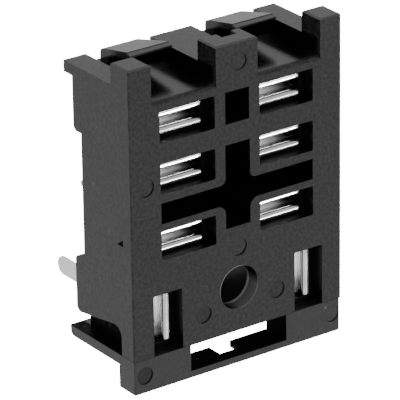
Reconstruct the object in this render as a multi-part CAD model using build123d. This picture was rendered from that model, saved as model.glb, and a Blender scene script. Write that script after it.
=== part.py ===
from build123d import *
import os

# Plug-in socket for an eight-blade power relay: one black moulding with two snap
# tongues, six load contacts and two coil contacts. Sizes are in mm. X runs to the
# right along the front face, Y runs back from it, and Z runs up from the bottom edge.
# The finished pieces are lowered so that the middle of the screw hole is the origin.

# The moulding seen from the front
WIDTH = 40.8
SHELF_TOP = 48.8
WALL_RISE = 2.6
POST_RISE = 6.2
BAND_TOP = 5.75
BAND_STEP = 0.15
OUTER_POST_WIDTH = 4.2
CENTRE_POST_WIDTH = 8.0
POST_DEPTH = 4.8
POST_CHAMFER = 0.25
POST_NOTCH_WIDTH = 2.9
POST_NOTCH_DEPTH = 1.86
POST_NOTCH_OFFSET = 0.8
EDGE_RADIUS = 0.3
SHELF_EDGE_RADIUS = 0.7
FRONT_WALL = 2.85
RIB = 1.5
BACK_WALL = 1.6
RAIL_WALL = 1.5

# The moulding seen from the side. Each stand is the distance behind the middle wall.
MIDDLE_DEPTH = 13.4
BAND_DEPTH = 4.47
LEDGE_UNDERSIDE = 3.95
LEDGE_STAND = 4.75
LEDGE_CORNER = 1.0
LOWER_BLOCK_STAND = 2.5
LOWER_BLOCK_TOP = 19.7
LOWER_BLOCK_SLOPE = 1.0
LOWER_BLOCK_CORNER = 0.9
UPPER_BLOCK_STAND = 2.1
UPPER_BLOCK_UNDERSIDE = 40.4
UPPER_BLOCK_CORNER = 0.9
FLANGE_STAND = 4.4
FLANGE_THICKNESS = 1.9
SCOOP_DEPTH = 2.5
SCOOP_START = 3.4
SCOOP_FRONT_TOP = 11.0
SCOOP_BACK_TOP = 9.0
SCOOP_RADIUS = 1.8
SCOOP_BACK_RADIUS = 1.0

# Contact openings: the middle height and the height of each row, then the coil slots
COLUMN_PITCH = 19.05
OPENING_WIDTH = 10.45
TOP_ROW = 44.33
TOP_ROW_HEIGHT = 5.45
MIDDLE_ROW = 35.63
MIDDLE_ROW_HEIGHT = 5.15
LOWER_ROW = 24.4
LOWER_ROW_HEIGHT = 5.0
COIL_INSET = 6.62
COIL_SLOT_WIDTH = 5.55
MOUTH_DEPTH = 2.4
OPENING_RADIUS = 0.25

# Screw hole, square hole, cross-shaped cut-out and the slot through the bottom
SCREW_HOLE_HEIGHT = 13.3
SCREW_HOLE_RADIUS = 3.65
SCREW_POCKET_WIDTH = 10.0
SQUARE_HOLE_WIDTH = 4.6
SQUARE_HOLE_BOTTOM = 41.7
SQUARE_HOLE_TOP = 47.05
CROSS_STEM_WIDTH = 4.75
CROSS_STEM_BOTTOM = 23.95
CROSS_STEM_TOP = 38.2
CROSS_ARM_SPAN = 29.4
CROSS_ARM_BOTTOM = 28.1
CROSS_ARM_TOP = 31.6
CROSS_UPPER_RADIUS = 1.0
CROSS_LOWER_RADIUS = 1.6
SLOT_WIDTH = 18.85
SLOT_BOTTOM = 1.15
SLEEVE_DEPTH = 5.6
SLEEVE_NOTCH_WIDTH = 4.1
SLEEVE_NOTCH_START = 2.6

# Snap tongues: one side is straight and the other spreads towards the tip. Each rise
# is the height above the shelf. A low wall behind the shelf carries each tongue.
TONGUE_LEFT = 3.4
TONGUE_ROOT_RIGHT = 3.2
TONGUE_TIP_RIGHT = 4.6
TONGUE_REACH = 8.3
TONGUE_TIP_RISE = 4.1
TONGUE_TIP_THICKNESS = 0.35
TONGUE_BEVEL = 0.9
TONGUE_RIDGE_RISE = 4.45
TONGUE_BACK_RISE = 2.95
TONGUE_THROAT_RISE = 2.1
TONGUE_CORNER = 1.0
TONGUE_THROAT = 1.2
ROOT_WALL_RISE = 1.2

# Marks that the ejector pins left in the front: across from the middle, and up
MARK_RADIUS = 1.5
MARK_DEPTH = 0.2
MARKS = [
    (0.4, 51.7),
    (0.1, 20.25),
    (-6.9, 10.4),
    (7.5, 10.8),
    (-17.5, 34.9),
    (-18.3, 2.95),
    (18.6, 3.3),
]

# Contacts: tinned strip with two sprung leaves, a folded collar and a flat tail
STRIP = 0.4
CONTACT_WIDTH = 7.9
CONTACT_CLEARANCE = 0.2
CONTACT_DROP = 0.25
LIP_START = 2.1
LIP_HEIGHT = 1.8
LIP_DROP = 0.85
PINCH_START = 5.9
PINCH_GAP = 0.5
COLLAR_START = 8.4
COLLAR_HEIGHT = 1.8
BEND_RADIUS = 0.6
TAIL_WIDTH = 3.15
LOAD_TAIL_STAND = 15.7
COIL_TAIL_STAND = 16.2
LOAD_TAIL_RISE = 0.25
TAIL_CLEARANCE = 0.15

WALL_TOP = SHELF_TOP + WALL_RISE
POST_TOP = SHELF_TOP + POST_RISE
FAR = 2 * POST_TOP
CELL_END = MIDDLE_DEPTH - BACK_WALL
LEDGE_DEPTH = MIDDLE_DEPTH + LEDGE_STAND
LOWER_BLOCK_DEPTH = MIDDLE_DEPTH + LOWER_BLOCK_STAND
UPPER_BLOCK_DEPTH = MIDDLE_DEPTH + UPPER_BLOCK_STAND
FLANGE_DEPTH = MIDDLE_DEPTH + FLANGE_STAND
COIL_PITCH = WIDTH - 2 * COIL_INSET
COIL_HEIGHT = BAND_TOP + OPENING_WIDTH / 2
GAP_WIDTH = (WIDTH - CENTRE_POST_WIDTH) / 2 - OUTER_POST_WIDTH
GAP_CENTRE = (CENTRE_POST_WIDTH + GAP_WIDTH) / 2
CELL_HEIGHT = 2 * LIP_HEIGHT + 2 * CONTACT_CLEARANCE
ROWS = {
    "top": (TOP_ROW, TOP_ROW_HEIGHT),
    "middle": (MIDDLE_ROW, MIDDLE_ROW_HEIGHT),
    "lower": (LOWER_ROW, LOWER_ROW_HEIGHT),
}
SIDES = {"left": -1, "right": 1}


def block(x, y, z):
    """A box between two values of x, two of y and two of z."""
    size = Box(x[1] - x[0], y[1] - y[0], z[1] - z[0], align=(Align.MIN, Align.MIN, Align.MIN))
    return Pos(x[0], y[0], z[0]) * size


def from_side(points, width, rounded=()):
    """A side profile of (y, z) points, some corners rounded, carried across the width."""
    outline = make_face(Polyline(*points, close=True))
    for corner, radius in rounded:
        near = Vector(*points[corner])
        vertex = outline.vertices().sort_by(lambda v: (Vector(v) - near).length)[0]
        outline = fillet(vertex, radius)
    return Plane.YZ * extrude(outline, width / 2, both=True)


def from_front(outline, start, end):
    """A front view outline in (x, z), carried back from one depth to another."""
    return Pos(0, start, 0) * extrude(Plane.XZ * outline, -(end - start))


def hull():
    """The moulding's side profile across its width; the bottom band is set back a little."""
    points = [
        (BAND_STEP, 0),
        (BAND_DEPTH, 0),
        (BAND_DEPTH, LEDGE_UNDERSIDE),
        (LEDGE_DEPTH, LEDGE_UNDERSIDE),
        (LEDGE_DEPTH, BAND_TOP),
        (LOWER_BLOCK_DEPTH, BAND_TOP),
        (LOWER_BLOCK_DEPTH, LOWER_BLOCK_TOP - LOWER_BLOCK_SLOPE),
        (MIDDLE_DEPTH, LOWER_BLOCK_TOP),
        (MIDDLE_DEPTH, UPPER_BLOCK_UNDERSIDE),
        (UPPER_BLOCK_DEPTH, UPPER_BLOCK_UNDERSIDE),
        (UPPER_BLOCK_DEPTH, WALL_TOP - FLANGE_THICKNESS),
        (FLANGE_DEPTH, WALL_TOP - FLANGE_THICKNESS),
        (FLANGE_DEPTH, WALL_TOP),
        (0, WALL_TOP),
        (0, BAND_TOP),
        (BAND_STEP, BAND_TOP),
    ]
    rounded = [(3, LEDGE_CORNER), (6, LOWER_BLOCK_CORNER), (9, UPPER_BLOCK_CORNER)]
    band_side = block((WIDTH / 2 - BAND_STEP, WIDTH), (-FAR, FAR), (-RIB, BAND_TOP))
    return from_side(points, WIDTH, rounded) - band_side - mirror(band_side, about=Plane.YZ)


def posts():
    """Two outer posts and a centre post stand on the front of the walls."""
    half = WIDTH / 2
    height = (SHELF_TOP, POST_TOP)
    depth = (0, POST_DEPTH)
    left = block((-half, -half + OUTER_POST_WIDTH), depth, height)
    right = block((half - OUTER_POST_WIDTH, half), depth, height)
    centre = block((-CENTRE_POST_WIDTH / 2, CENTRE_POST_WIDTH / 2), depth, height)
    return left + right + centre


def post_notch():
    """The square notch down the back of the centre post."""
    left = POST_NOTCH_OFFSET - POST_NOTCH_WIDTH / 2
    depth = (POST_DEPTH - POST_NOTCH_DEPTH, POST_DEPTH)
    return block((left, left + POST_NOTCH_WIDTH), depth, (WALL_TOP, POST_TOP))


def gaps():
    """The two gaps between the walls, open to the front, the top and the back."""
    gap = block((-GAP_WIDTH / 2, GAP_WIDTH / 2), (-FAR, FAR), (SHELF_TOP, FAR))
    return Pos(-GAP_CENTRE, 0, 0) * gap + Pos(GAP_CENTRE, 0, 0) * gap


def side_scoops():
    """A hollow is scooped out of each side above the ledge."""
    points = [
        (SCOOP_START, BAND_TOP),
        (FAR, BAND_TOP),
        (FAR, SCOOP_FRONT_TOP),
        (LOWER_BLOCK_DEPTH, SCOOP_FRONT_TOP),
        (LOWER_BLOCK_DEPTH, SCOOP_BACK_TOP),
        (SCOOP_START, SCOOP_FRONT_TOP),
    ]
    rounded = [(4, SCOOP_BACK_RADIUS), (5, SCOOP_RADIUS)]
    scoop = from_side(points, 2 * SCOOP_DEPTH, rounded)
    left = Pos(-WIDTH / 2, 0, 0) * scoop
    return left + mirror(left, about=Plane.YZ)


def cell(height, offset, rise, depth):
    """One contact's place: a wide mouth, a fitted cell, a tail slot and a back pocket."""
    mouth_face = RectangleRounded(OPENING_WIDTH, height, OPENING_RADIUS)
    mouth = from_front(mouth_face, -SHELF_EDGE_RADIUS, MOUTH_DEPTH)
    inner_width = CONTACT_WIDTH + 2 * CONTACT_CLEARANCE
    inner = from_front(Pos(0, offset) * Rectangle(inner_width, CELL_HEIGHT), MOUTH_DEPTH, CELL_END)
    slot_face = Rectangle(TAIL_WIDTH + 2 * TAIL_CLEARANCE, STRIP + 2 * TAIL_CLEARANCE)
    slot = from_front(Pos(0, offset + rise) * slot_face, CELL_END, FAR)
    cut = mouth + inner + slot
    if depth > MIDDLE_DEPTH:
        pocket_face = RectangleRounded(inner_width, CELL_HEIGHT, OPENING_RADIUS)
        cut += from_front(pocket_face, MIDDLE_DEPTH, FAR)
    return cut


def cross():
    """The cross-shaped cut-out between the columns and between the rows."""
    stem_height = CROSS_STEM_TOP - CROSS_STEM_BOTTOM
    stem = Pos(0, CROSS_STEM_BOTTOM + stem_height / 2) * Rectangle(CROSS_STEM_WIDTH, stem_height)
    arm_height = CROSS_ARM_TOP - CROSS_ARM_BOTTOM
    arm = Pos(0, CROSS_ARM_BOTTOM + arm_height / 2) * Rectangle(CROSS_ARM_SPAN, arm_height)
    face = stem + arm
    for height, radius in ((CROSS_ARM_TOP, CROSS_UPPER_RADIUS), (CROSS_ARM_BOTTOM, CROSS_LOWER_RADIUS)):
        for side in (-1, 1):
            near = Vector(side * CROSS_STEM_WIDTH / 2, height)
            corner = face.vertices().sort_by(lambda v: (Vector(v) - near).length)[0]
            face = fillet(corner, radius)
    return from_front(face, -SHELF_EDGE_RADIUS, CELL_END)


def lower_cuts():
    """The screw hole with its pocket, the coring beside it and the slot at the bottom."""
    hole = from_front(Pos(0, SCREW_HOLE_HEIGHT) * Circle(SCREW_HOLE_RADIUS), -FRONT_WALL, FRONT_WALL)
    floor = BAND_TOP + RIB
    ceiling = LOWER_BLOCK_TOP - LOWER_BLOCK_SLOPE - RIB / 2
    half = SCREW_POCKET_WIDTH / 2
    pocket = block((-half, half), (FRONT_WALL, FAR), (floor, ceiling))
    core_start = half + RIB
    core_end = COIL_PITCH / 2 - COIL_SLOT_WIDTH / 2 - RIB
    core = block((core_start, core_end), (FRONT_WALL, FAR), (floor, ceiling))
    slot = block((-SLOT_WIDTH / 2, SLOT_WIDTH / 2), (-FAR, FAR), (SLOT_BOTTOM, BAND_TOP))
    return hole + pocket + core + mirror(core, about=Plane.YZ) + slot


def rail_coring():
    """A long pocket from the back keeps each side rail's walls even."""
    outer = WIDTH / 2 - RAIL_WALL
    inner = COLUMN_PITCH / 2 + OPENING_WIDTH / 2 + RAIL_WALL
    height = (LOWER_BLOCK_TOP + RIB, UPPER_BLOCK_UNDERSIDE - RIB)
    pocket = block((inner, outer), (FRONT_WALL, FAR), height)
    return pocket + mirror(pocket, about=Plane.YZ)


def sleeve():
    """The bottom slot's floor and side walls, which reach back past the front band."""
    half = SLOT_WIDTH / 2
    outside = block((-half - RIB, half + RIB), (BAND_STEP, SLEEVE_DEPTH), (0, LEDGE_UNDERSIDE))
    inside = block((-half, half), (-FAR, FAR), (SLOT_BOTTOM, FAR))
    notch_face = block(
        (-SLEEVE_NOTCH_WIDTH / 2, SLEEVE_NOTCH_WIDTH / 2),
        (SLEEVE_NOTCH_START, SLEEVE_DEPTH),
        (0, SLOT_BOTTOM),
    )
    return outside - inside, notch_face


def root_wall():
    """The low wall that carries a tongue. It closes the gap and laps behind its sides."""
    points = [
        (UPPER_BLOCK_DEPTH, TOP_ROW + TOP_ROW_HEIGHT / 2),
        (FLANGE_DEPTH, SHELF_TOP),
        (FLANGE_DEPTH, SHELF_TOP + ROOT_WALL_RISE),
        (UPPER_BLOCK_DEPTH, SHELF_TOP + ROOT_WALL_RISE),
    ]
    return from_side(points, GAP_WIDTH + 2 * RIB)


def tongue():
    """A snap tongue: a leg up the back, a rounded corner and a wedge rising forwards."""
    back = FLANGE_DEPTH
    tip = back - TONGUE_REACH
    points = [
        (UPPER_BLOCK_DEPTH, SHELF_TOP),
        (back, SHELF_TOP),
        (back, SHELF_TOP + TONGUE_BACK_RISE),
        (tip + TONGUE_BEVEL, SHELF_TOP + TONGUE_RIDGE_RISE),
        (tip, SHELF_TOP + TONGUE_TIP_RISE),
        (tip, SHELF_TOP + TONGUE_TIP_RISE - TONGUE_TIP_THICKNESS),
        (UPPER_BLOCK_DEPTH, SHELF_TOP + TONGUE_THROAT_RISE),
    ]
    spread = TONGUE_LEFT + TONGUE_TIP_RIGHT
    bar = from_side(points, 2 * spread, [(2, TONGUE_CORNER), (6, TONGUE_THROAT)])
    plan = Polyline(
        (-TONGUE_LEFT, tip),
        (TONGUE_TIP_RIGHT, tip),
        (TONGUE_ROOT_RIGHT, back),
        (-TONGUE_LEFT, back),
        close=True,
    )
    return bar & extrude(make_face(plan), FAR)


def socket_body():
    """The whole moulding."""
    body = hull() - gaps()
    shelf_edges = body.edges().filter_by(Axis.X).filter_by(
        lambda e: abs(e.center().Y) < EDGE_RADIUS / 9 and abs(e.center().Z - SHELF_TOP) < EDGE_RADIUS / 9
    )
    body = fillet(shelf_edges, SHELF_EDGE_RADIUS)
    body += posts()
    walls, notch = sleeve()
    body += walls
    front_sides = body.edges().filter_by(Axis.Z).filter_by(
        lambda e: abs(e.center().Y) < EDGE_RADIUS and WIDTH / 2 - abs(e.center().X) < EDGE_RADIUS
    )
    body = fillet(front_sides, EDGE_RADIUS)
    post_tops = body.edges().filter_by(lambda e: POST_TOP - e.center().Z < EDGE_RADIUS / 9)
    body = chamfer(post_tops, POST_CHAMFER)
    for side in SIDES.values():
        body += Pos(side * GAP_CENTRE, 0, 0) * (root_wall() + tongue())
    cut = side_scoops() + cross() + lower_cuts() + rail_coring() + notch + post_notch()
    square = block(
        (-SQUARE_HOLE_WIDTH / 2, SQUARE_HOLE_WIDTH / 2),
        (-FAR, CELL_END),
        (SQUARE_HOLE_BOTTOM, SQUARE_HOLE_TOP),
    )
    cut += square
    for name, (height, opening) in ROWS.items():
        depth = UPPER_BLOCK_DEPTH if name == "top" else MIDDLE_DEPTH
        for side in SIDES.values():
            place = Pos(side * COLUMN_PITCH / 2, 0, height)
            cut += place * cell(opening, -CONTACT_DROP, LOAD_TAIL_RISE, depth)
    for side in SIDES.values():
        place = Pos(side * COIL_PITCH / 2, 0, COIL_HEIGHT) * Rot(0, 90, 0)
        cut += place * cell(COIL_SLOT_WIDTH, -CONTACT_DROP, coil_tail_rise(), LOWER_BLOCK_DEPTH)
    for across, height in MARKS:
        depth = MARK_DEPTH if height > BAND_TOP else BAND_STEP + MARK_DEPTH
        cut += from_front(Pos(across, height) * Circle(MARK_RADIUS), -MARK_DEPTH, depth)
    return body - cut


def coil_tail_rise():
    """A coil contact's tail runs straight on from the lower plate of its collar."""
    return -(COLLAR_HEIGHT - STRIP) / 2


def strip_between(points, width):
    """A bent strip of sheet along a side view path of (y, z) points."""
    path = FilletPolyline(*points, radius=BEND_RADIUS)
    return Plane.YZ * extrude(trace(path, line_width=STRIP), width / 2, both=True)


def contact(tail_rise, tail_tip):
    """One stamping, lying flat: leaves to the front, collar, and the tail through the wall."""
    plate = (COLLAR_HEIGHT - STRIP) / 2
    pinch = (PINCH_GAP + STRIP) / 2
    leaf = [
        (LIP_START + STRIP / 2, LIP_HEIGHT),
        (LIP_START + STRIP / 2, LIP_HEIGHT - LIP_DROP),
        (PINCH_START, pinch),
        (COLLAR_START, plate),
        (CELL_END, plate),
    ]
    upper = strip_between(leaf, CONTACT_WIDTH)
    lower = mirror(upper, about=Plane.XY)
    edge = CONTACT_WIDTH / 2
    side = block((edge - STRIP, edge), (COLLAR_START, CELL_END), (-plate, plate))
    straight = tail_tip - TAIL_WIDTH / 2
    tail = block(
        (-TAIL_WIDTH / 2, TAIL_WIDTH / 2),
        (CELL_END - STRIP, straight),
        (tail_rise - STRIP / 2, tail_rise + STRIP / 2),
    )
    tip = Pos(0, straight, tail_rise) * Cylinder(TAIL_WIDTH / 2, STRIP)
    web = block(
        (-TAIL_WIDTH / 2, TAIL_WIDTH / 2),
        (CELL_END - STRIP, CELL_END),
        (-plate - STRIP / 2, tail_rise + STRIP / 2),
    )
    return upper + lower + side + tail + tip + web


def save(name, solid):
    """Writes one piece, lowered so that the middle of the screw hole is the origin."""
    export_step(Pos(0, 0, -SCREW_HOLE_HEIGHT) * solid, f"parts/{name}.step")


os.makedirs("parts", exist_ok=True)

save("socket_body", socket_body())

load_contact = Pos(0, 0, -CONTACT_DROP) * contact(LOAD_TAIL_RISE, MIDDLE_DEPTH + LOAD_TAIL_STAND)
for row, (row_height, _) in ROWS.items():
    for side_name, side_sign in SIDES.items():
        place = Pos(side_sign * COLUMN_PITCH / 2, 0, row_height)
        save(f"contact_{row}_{side_name}", place * load_contact)

coil_contact = Pos(0, 0, -CONTACT_DROP) * contact(coil_tail_rise(), MIDDLE_DEPTH + COIL_TAIL_STAND)
for side_name, side_sign in SIDES.items():
    place = Pos(side_sign * COIL_PITCH / 2, 0, COIL_HEIGHT) * Rot(0, 90, 0)
    save(f"coil_contact_{side_name}", place * coil_contact)
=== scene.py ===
import bpy
from mathutils import Matrix, Vector


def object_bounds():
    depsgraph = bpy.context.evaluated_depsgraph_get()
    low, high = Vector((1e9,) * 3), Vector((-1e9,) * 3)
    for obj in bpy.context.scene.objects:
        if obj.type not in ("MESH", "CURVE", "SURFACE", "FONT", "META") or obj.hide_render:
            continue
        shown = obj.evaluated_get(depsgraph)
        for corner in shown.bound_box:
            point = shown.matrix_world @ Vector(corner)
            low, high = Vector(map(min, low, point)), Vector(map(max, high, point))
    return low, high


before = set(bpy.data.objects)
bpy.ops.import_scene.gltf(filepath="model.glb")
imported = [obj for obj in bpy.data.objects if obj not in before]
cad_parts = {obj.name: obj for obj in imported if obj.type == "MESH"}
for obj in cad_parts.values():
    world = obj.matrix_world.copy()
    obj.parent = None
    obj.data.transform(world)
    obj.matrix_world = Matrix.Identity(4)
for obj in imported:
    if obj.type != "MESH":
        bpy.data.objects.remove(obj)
cad_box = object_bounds()


# The moulding is one piece of black glass-filled nylon. Its mould was finely eroded, so
# the skin has a faint grain and a satin gloss, with clouds, dust, two nicks and a chip.
class Value:
    """One output in a material's node tree. Operators on it add Math nodes."""

    def __init__(self, tree, socket):
        self.tree = tree
        self.socket = socket

    def node(self, kind, settings, out=0, **inputs):
        """Adds a node of any type: its settings first, then its sockets' values or links.

        A socket is given by its name, with _ for a space, or by i and its number.
        """
        made = self.tree.nodes.new(kind)
        for name, setting in settings.items():
            setattr(made, name, setting)
        for name, given in inputs.items():
            numbered = name[0] == "i" and name[1:].isdigit()
            key = int(name[1:]) if numbered else name.replace("_", " ")
            if isinstance(given, Value):
                self.tree.links.new(given.socket, made.inputs[key])
            else:
                made.inputs[key].default_value = given
        return Value(self.tree, made.outputs[out])

    def maths(self, operation, first, second):
        return self.node("ShaderNodeMath", {"operation": operation}, i0=first, i1=second)

    def __add__(self, other):
        return self.maths("ADD", self, other)

    def __sub__(self, other):
        return self.maths("SUBTRACT", self, other)

    def __rsub__(self, other):
        return self.maths("SUBTRACT", other, self)

    def __mul__(self, other):
        return self.maths("MULTIPLY", self, other)

    __radd__ = __add__
    __rmul__ = __mul__

    def size(self):
        """The value without its sign."""
        return self.maths("ABSOLUTE", self, 0.0)

    def or_more(self, other):
        """The larger of two values, which joins two masks."""
        return self.maths("MAXIMUM", self, other)

    def split(self):
        """The three numbers of a place: across, depth and height."""
        return [self.node("ShaderNodeSeparateXYZ", {}, out=k, Vector=self) for k in range(3)]

    def noise(self, scale, detail, roughness=0.5):
        """A noise of about 0 to 1 whose lumps are one over scale metres wide."""
        return self.node(
            "ShaderNodeTexNoise", {}, Vector=self, Scale=scale, Detail=detail, Roughness=roughness
        )

    def mask(self, low, high):
        """Runs from 0 to 1 as the value goes from low to high."""
        return self.node("ShaderNodeMapRange", {}, Value=self, From_Min=low, From_Max=high)

    def within(self, low, high, soft=0.00004):
        """One between low and high, and zero outside them, with a soft edge."""
        return self.mask(low - soft, low + soft) * (1.0 - self.mask(high - soft, high + soft))

    def mix(self, first, second):
        """A colour that goes from first to second as the value goes from 0 to 1."""
        return self.node("ShaderNodeMix", {"data_type": "RGBA"}, out=2, i0=self, i6=first, i7=second)

    def bump(self, strength, distance):
        """A normal that takes the value as a height."""
        return self.node("ShaderNodeBump", {}, Strength=strength, Distance=distance, Height=self)

    @classmethod
    def material(cls, name):
        """A new material, its Principled shader's inputs and its object coordinates."""
        made = bpy.data.materials.new(name)
        made.use_nodes = True
        tree = made.node_tree
        place = cls(tree, tree.nodes.new("ShaderNodeTexCoord").outputs["Object"])
        return made, tree.nodes["Principled BSDF"].inputs, place

    def feed(self, socket):
        self.tree.links.new(self.socket, socket)


def paint(red, green, blue):
    """A colour as a node's socket takes it."""
    return (red, green, blue, 1.0)


nylon, skin, place = Value.material("black_moulding")
across, depth, height = place.split()
from_middle = across.size()
foot = cad_box[0][2]
post_top = cad_box[1][2]
half_width = cad_box[1][0]
level = height - foot
band_top = foot + 0.00575
shelf = foot + 0.0488
tongue_top = foot + 0.0529
cell_back = 0.0129
crisp = 0.00002
no_inner_edge = -1.0


def room(deep, wide, tall, soft=0.00004):
    """One in a room given by its depth, its reach from the middle and its height."""
    return depth.within(*deep, soft) * from_middle.within(*wide) * height.within(*tall)


def disc(first, second, radius, soft=0.00003):
    """One inside a circle round the point where both values are zero."""
    square = first * first + second * second
    return 1.0 - square.maths("POWER", square, 0.5).mask(radius - soft, radius + soft)


# Little light reaches the eight cells and the screw pocket behind the front wall: they are painted
# near black as shade. The screw hole passes through that wall, and the bottom slot and the
# scooped corners are painted black as shade.
load_cells = from_middle.within(0.0042, 0.0148) * height.within(foot + 0.0218, foot + 0.0472)
coil_cells = from_middle.within(0.0109, 0.0167) * height.within(band_top, foot + 0.0163)
cells = depth.within(0.00005, cell_back, crisp) * load_cells.or_more(coil_cells)
behind_marks = 0.00026
side_wall = half_width - 0.0008
under_shelf = shelf - 0.0002
hollow = room((behind_marks, cell_back), (no_inner_edge, side_wall), (band_top, under_shelf), crisp)
pocket = room((0.0029, 0.0172), (no_inner_edge, 0.0051), (band_top, foot + 0.0184))
hole_radius = 0.00373
bore = disc(across, height, hole_radius) * depth.within(-0.0002, 0.0030)
cells = cells.or_more(hollow).or_more(pocket) * (1.0 - bore)
mottle = place.noise(1700.0, 2.0)
scoop_width = (half_width - 0.0026, half_width - 0.0001)
scoop = room((0.0034, 0.0181), scoop_width, (band_top - 0.0001, foot + 0.0110))
scoop = scoop * (mottle.mask(0.35, 0.65) * 0.25 + 0.75)
slot = room((0.0002, 0.0192), (no_inner_edge, 0.0095), (foot + 0.0004, band_top + 0.0001))
unlit = scoop.or_more(slot)
inside = cells.or_more(unlit)
# The gaps beside the posts, under the tongues, are painted black as shade.
beside_posts = room(
    (0.0008, 0.0170), (0.0039, 0.0163), (shelf - 0.0001, tongue_top - 0.0012), 0.0002
)

# The set-back band along the foot is a little lighter. Where it meets the front wall a dark line is
# painted as shade. The tongue tips and the rounded tops of the posts are painted lighter as
# highlights.
band = (1.0 - height.mask(band_top - 0.00004, band_top + 0.00004)) * (1.0 - inside)
off_the_side = 1.0 - from_middle.mask(half_width - 0.0003, half_width - 0.0002)
behind_skin = depth.mask(0.0001, 0.0002) * off_the_side
seam_shade = height.within(band_top - 0.00002, band_top + 0.00012) * (1.0 - behind_skin)
seam_shade = seam_shade * (1.0 - depth.mask(0.0045, 0.0046))
tip_highlight = height.within(tongue_top - 0.0001, tongue_top + 0.00025) * depth.within(0.0094, 0.0104)
crown_highlight = height.within(post_top - 0.00024, post_top - 0.00002, crisp)

# The front rim, the rear edge and the lower right of the screw hole are painted lighter as
# highlights and light. Above left its wall is painted dark as shade.
rightward = across - height
rim = (1.0 - depth.mask(0.0, 0.0002)) * (height - across).mask(0.001, 0.004)
lower_right = rightward.mask(0.0018, 0.0042)
rear_arc = depth.within(0.00235, 0.0029, 0.0001) * rightward.mask(0.0, 0.002)
bore_highlights = bore * (lower_right * 0.32 + rim * 0.8 + rear_arc * 0.9)

# Ejector pins pressed round marks into the front. Three of them are duller than the skin.
# The left side has a small wedge-shaped chip, not cut but painted black and matt as the shade
# in its dent, and there are two light nicks.
front = 1.0 - depth.mask(0.0005, 0.0006)
left = 1.0 - across.mask(0.0001 - half_width, 0.0003 - half_width)
mark = 0.0015
foot_mark = disc(across + 0.0183, level - 0.00295, mark) * front
hole_marks = disc(across + 0.0069, level - 0.0104, mark) + disc(across - 0.0075, level - 0.0108, mark)
chip_front = 0.0024
chip_level = 0.0255
wedge = (level - chip_level + (depth - chip_front) * 0.35).size() + depth * 0.33
chip = (1.0 - wedge.mask(0.00131, 0.00139)) * depth.within(chip_front, 0.0040) * left
front_nick = disc(across - 0.01735, level - 0.00468, 0.00022) * front
side_nick = disc(depth - 0.0091, level - 0.0172, 0.0002) * left
grain = place.noise(2600.0, 3.0, 0.6)
cloud = place.noise(130.0, 4.0, 0.6)
dust = place.noise(900.0, 2.0).mask(0.70, 0.78) * 0.4 + (front_nick + side_nick * 0.4)

# The colours are laid over each other in this order: the bare skin, the lighter band, the painted
# highlights, the real marks and dust, and last the painted shade of the dark places.
pitch_black = paint(0.002, 0.002, 0.002)
tone = (mottle.mask(0.38, 0.62) * 0.75 + cloud.mask(0.3, 0.7) * 0.25).mix(
    paint(0.003, 0.003, 0.003), paint(0.025, 0.0245, 0.0245)
)
layers = [
    (band * 0.6, paint(0.034, 0.0335, 0.033)),
    (tip_highlight, paint(0.08, 0.079, 0.077)),
    (crown_highlight, paint(0.06, 0.059, 0.058)),
    (bore_highlights, paint(0.36, 0.355, 0.35)),
    (foot_mark * 0.7, paint(0.004, 0.004, 0.004)),
    (dust, paint(0.12, 0.115, 0.11)),
    (inside.or_more(seam_shade * 0.8) + beside_posts + chip, pitch_black),
]
for cover, colour in layers:
    tone = cover.mix(tone, colour)
tone.feed(skin["Base Color"])
gloss = cloud.mask(0.25, 0.75) * 0.08 + 0.24
(gloss + inside * 0.04 + seam_shade * 0.4 - beside_posts * 0.14).feed(skin["Roughness"])
skin["Specular IOR Level"].default_value = 0.3
(grain * 0.7 + cloud * 0.6).bump(0.25, 0.00006).feed(skin["Normal"])

# Where little light comes in, a matt black takes the place of the gloss as painted shade, as on
# the chip and the upper left of the screw hole. On the cells and on the duller marks it does so
# only in part, on the marks as their duller finish.
glossy = Value(place.tree, place.tree.nodes["Principled BSDF"].outputs["BSDF"])
matt = place.node(
    "ShaderNodeBsdfPrincipled", {}, Base_Color=pitch_black, Roughness=0.7, Specular_IOR_Level=0.02
)
bore_shade = bore * (0.85 - lower_right * 0.75 - rim * 0.8)
shade_and_dull_marks = unlit.or_more(cells * 0.25).or_more(bore_shade)
shade_and_dull_marks = shade_and_dull_marks + chip + foot_mark * 0.17 + hole_marks * front * 0.12
surface = shade_and_dull_marks.node("ShaderNodeMixShader", {}, i0=shade_and_dull_marks, i1=glossy, i2=matt)
surface.feed(place.tree.nodes["Material Output"].inputs["Surface"])
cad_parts["socket_body"].data.materials[0] = nylon

# The eight contacts are stamped from brass strip, folded and tinned, and pushed into their
# cells. The plating has drawing lines along the strip and is duller on leaves and tails.
# The leaves of the six load contacts are painted dark towards their right ends as shade.
tin, plate, place = Value.material("tinned_strip")
across, depth, height = place.split()
along_strip = place.node("ShaderNodeMapping", {}, Vector=place, Scale=(1.0, 0.12, 1.0))
drawing_lines = along_strip.noise(1800.0, 2.0)
patch = place.noise(350.0, 3.0)
leaf = depth.within(0.0034, 0.0118, 0.0004)
tail = depth.mask(0.0140, 0.0150)
end_soft = 0.0012
right_end_shade = across.within(-0.0075, -0.0050, end_soft) + across.within(0.0115, 0.0140, end_soft)
above_coils = height.mask(0.005, 0.006)
plating = patch.mask(0.3, 0.7).mix(paint(0.4, 0.4, 0.4), paint(0.47, 0.47, 0.47))
plating = tail.or_more(leaf).mix(plating, paint(0.86, 0.86, 0.86))
plating = (right_end_shade * leaf * above_coils).mix(plating, paint(0.05, 0.05, 0.05))
plating.feed(plate["Base Color"])
plate["Metallic"].default_value = 1.0
(patch.mask(0.2, 0.8) * 0.06 + 0.1 + leaf * 0.4 + tail * 0.38).feed(plate["Roughness"])
drawing_lines.bump(0.1, 0.00003).feed(plate["Normal"])
contacts = [node for name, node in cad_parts.items() if "contact" in name]
for contact in contacts:
    contact.data.materials[0] = tin

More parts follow.
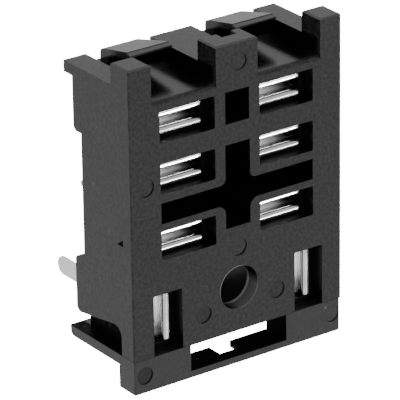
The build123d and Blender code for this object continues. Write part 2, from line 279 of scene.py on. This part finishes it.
# The camera stands to the left of the front and above it, at the photograph's angle.
lens = bpy.data.cameras.new("camera")
lens.lens = 346.4
lens.sensor_width = 36.0
lens.clip_end = 10.0
camera = bpy.data.objects.new("camera", lens)
bpy.context.collection.objects.link(camera)
right = Vector((0.81266, -0.58258, -0.01344))
up = Vector((0.24298, 0.31781, 0.91650))
back = Vector((-0.52966, -0.74807, 0.39983))
stand = Vector((-0.32525, -0.44899, 0.25699))
turn = Matrix((right, up, back)).transposed().to_4x4()
camera.matrix_world = Matrix.Translation(stand) @ turn
bpy.context.scene.camera = camera

# A sheet of white paper lies just under the foot. It shows in no reflection and throws no
# light back, so that the plastic takes its light from the tent alone.
paper, sheet_skin, place = Value.material("floor_paper")
fibre = place.noise(40.0, 3.0)
fibre.mix(paint(0.93, 0.93, 0.93), paint(0.95, 0.95, 0.95)).feed(sheet_skin["Base Color"])
sheet_skin["Roughness"].default_value = 0.9
sheet_skin["Specular IOR Level"].default_value = 0.0
low = foot - 0.0001
reach = 4.0
sheet = bpy.data.meshes.new("floor")
corners = [(-reach, -reach, low), (reach, -reach, low), (reach, reach, low), (-reach, reach, low)]
sheet.from_pydata(corners, [], [(0, 1, 2, 3)])
sheet.materials.append(paper)
floor = bpy.data.objects.new("floor", sheet)
bpy.context.collection.objects.link(floor)
floor.visible_glossy = False
floor.visible_diffuse = False

# The studio is a white tent, which is the world. It is brightest low down in front, where
# the front wall mirrors it, and brighter at the bottom than at the top all round.
world = bpy.data.worlds.new("studio")
world.use_nodes = True
tree = world.node_tree
around = Value(tree, tree.nodes.new("ShaderNodeTexCoord").outputs["Generated"])
_, away, rise = around.split()
tent = rise.mask(-0.5, 0.4).mix(paint(1.25, 1.25, 1.25), paint(0.95, 0.95, 0.95))
low_front = (1.0 - away.mask(-0.75, 0.1)) * (1.0 - rise.mask(-0.5, 0.2))
low_front.mix(tent, paint(1.65, 1.65, 1.65)).feed(tree.nodes["Background"].inputs["Color"])
bpy.context.scene.world = world


# One lamp overhead lights the paper alone. Three soft boxes at the front right reach the
# contacts alone, so that the lips shine, and the moulding shades them there.
def soft_box(name, spot, target, energy, size, lit, shade):
    """A square lamp at a spot, facing a target, for the lit objects and the shading ones."""
    data = bpy.data.lights.new(name, "AREA")
    data.energy = energy
    data.size = size
    lamp = bpy.data.objects.new(name, data)
    bpy.context.collection.objects.link(lamp)
    lamp.location = spot
    lamp.rotation_euler = (Vector(target) - lamp.location).to_track_quat("-Z", "Y").to_euler()
    for role, chosen in (("receiver_collection", lit), ("blocker_collection", shade)):
        group = bpy.data.collections.new(f"{name}_{role}")
        for member in chosen:
            group.objects.link(member)
        setattr(lamp.light_linking, role, group)
    return lamp


everything = list(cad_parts.values())
soft_box("paper_fill", (0.0, 0.0, 2.0), (0.0, 0.0, 0.0), 900.0, 2.0, [floor], [floor])
lip_aim = (0.0, 0.0, 0.01)
strip = soft_box("contact_box", (0.42, -0.62, -0.2), lip_aim, 5.0, 0.5, contacts, everything)
strip.data.shape = "RECTANGLE"
strip.data.size_y = 0.06
soft_box("contact_side", (0.68, -0.4, 0.15), lip_aim, 30.0, 0.2, contacts, everything)
soft_box("contact_low", (0.38, -0.56, -0.6), (0.0, 0.0, 0.02), 60.0, 0.3, contacts, everything)
